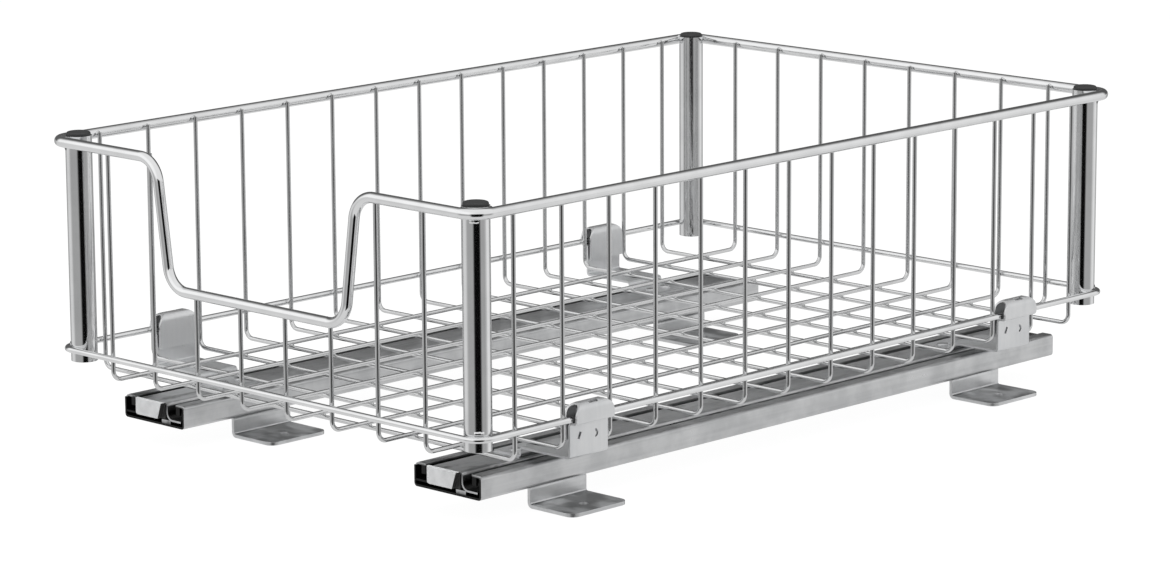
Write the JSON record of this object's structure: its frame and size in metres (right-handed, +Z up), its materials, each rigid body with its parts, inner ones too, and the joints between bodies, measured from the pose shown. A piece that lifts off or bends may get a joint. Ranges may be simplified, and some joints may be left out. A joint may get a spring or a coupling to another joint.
{
  "type": "pull-out cabinet basket",
  "caption": "Low chromed wire basket on two ball-bearing slides with Z-shaped floor feet, which pulls forward out of a kitchen cabinet; its front dips for the hand.",
  "frame": {"origin": "middle of the bounding box on the surface that the feet stand on", "axes": "+X to the right seen from the front, +Y to the back of the cabinet, +Z up"},
  "size_m": [0.3268, 0.5058, 0.1687],
  "materials": {
    "chromed_rod": "bright chrome plating",
    "chromed_wire": "bright chrome plating",
    "chromed_tube": "bright chrome plating",
    "cap_plastic": "moulded charcoal",
    "bracket_zinc": "satin zinc plating",
    "slide_zinc": "satin zinc plating",
    "foot_zinc": "satin zinc plating",
    "rivet_zinc": "zinc plating",
    "block_plastic": "moulded light grey",
    "bumper_rubber": "matt",
    "retainer_steel": "plain",
    "ball_steel": "polished"
  },
  "bodies": {
    "cabinet_side": {"left_outer_slide": "slide_zinc", "right_outer_slide": "slide_zinc", "left_rear_bumper": "bumper_rubber", "right_rear_bumper": "bumper_rubber", "front_left_foot": "foot_zinc", "front_right_foot": "foot_zinc", "rear_left_foot": "foot_zinc", "rear_right_foot": "foot_zinc", "foot_rivets": "rivet_zinc"},
    "basket": {"top_rim": "chromed_rod", "base_ring": "chromed_rod", "front_left_post": "chromed_tube", "front_right_post": "chromed_tube", "rear_left_post": "chromed_tube", "rear_right_post": "chromed_tube", "front_left_post_cap": "cap_plastic", "front_right_post_cap": "cap_plastic", "rear_left_post_cap": "cap_plastic", "rear_right_post_cap": "cap_plastic", "cross_wire_01": "chromed_wire", "cross_wire_02": "chromed_wire", "cross_wire_03": "chromed_wire", "cross_wire_04": "chromed_wire", "cross_wire_05": "chromed_wire", "cross_wire_06": "chromed_wire", "cross_wire_07": "chromed_wire", "cross_wire_08": "chromed_wire", "cross_wire_09": "chromed_wire", "cross_wire_10": "chromed_wire", "cross_wire_11": "chromed_wire", "cross_wire_12": "chromed_wire", "cross_wire_13": "chromed_wire", "cross_wire_14": "chromed_wire", "long_wire_1": "chromed_wire", "long_wire_2": "chromed_wire", "long_wire_3": "chromed_wire", "long_wire_4": "chromed_wire", "long_wire_5": "chromed_wire", "long_wire_6": "chromed_wire", "long_wire_7": "chromed_wire", "long_wire_8": "chromed_wire", "front_left_bracket": "bracket_zinc", "front_right_bracket": "bracket_zinc", "rear_left_bracket": "bracket_zinc", "rear_right_bracket": "bracket_zinc", "left_inner_slide": "slide_zinc", "right_inner_slide": "slide_zinc", "left_front_block": "block_plastic", "right_front_block": "block_plastic", "bracket_rivets": "rivet_zinc"},
    "left_inboard_retainer_body": {"left_inboard_retainer": "retainer_steel", "left_inboard_balls": "ball_steel"},
    "left_outboard_retainer_body": {"left_outboard_retainer": "retainer_steel", "left_outboard_balls": "ball_steel"},
    "right_inboard_retainer_body": {"right_inboard_retainer": "retainer_steel", "right_inboard_balls": "ball_steel"},
    "right_outboard_retainer_body": {"right_outboard_retainer": "retainer_steel", "right_outboard_balls": "ball_steel"}
  },
  "joints": [
    {"name": "basket_slide", "type": "slide", "parent": "cabinet_side", "child": "basket", "axis": [0, -1, 0], "range_m": [0, 0.34]},
    {"name": "left_inboard_roll", "type": "slide", "parent": "cabinet_side", "child": "left_inboard_retainer_body", "axis": [0, -1, 0], "range_m": [0, 0.17]},
    {"name": "left_outboard_roll", "type": "slide", "parent": "cabinet_side", "child": "left_outboard_retainer_body", "axis": [0, -1, 0], "range_m": [0, 0.17]},
    {"name": "right_inboard_roll", "type": "slide", "parent": "cabinet_side", "child": "right_inboard_retainer_body", "axis": [0, -1, 0], "range_m": [0, 0.17]},
    {"name": "right_outboard_roll", "type": "slide", "parent": "cabinet_side", "child": "right_outboard_retainer_body", "axis": [0, -1, 0], "range_m": [0, 0.17]}
  ],
  "couplings": [
    {"joint": "left_inboard_roll", "follows": "basket_slide", "ratio": 0.5},
    {"joint": "left_outboard_roll", "follows": "basket_slide", "ratio": 0.5},
    {"joint": "right_inboard_roll", "follows": "basket_slide", "ratio": 0.5},
    {"joint": "right_outboard_roll", "follows": "basket_slide", "ratio": 0.5}
  ]
}
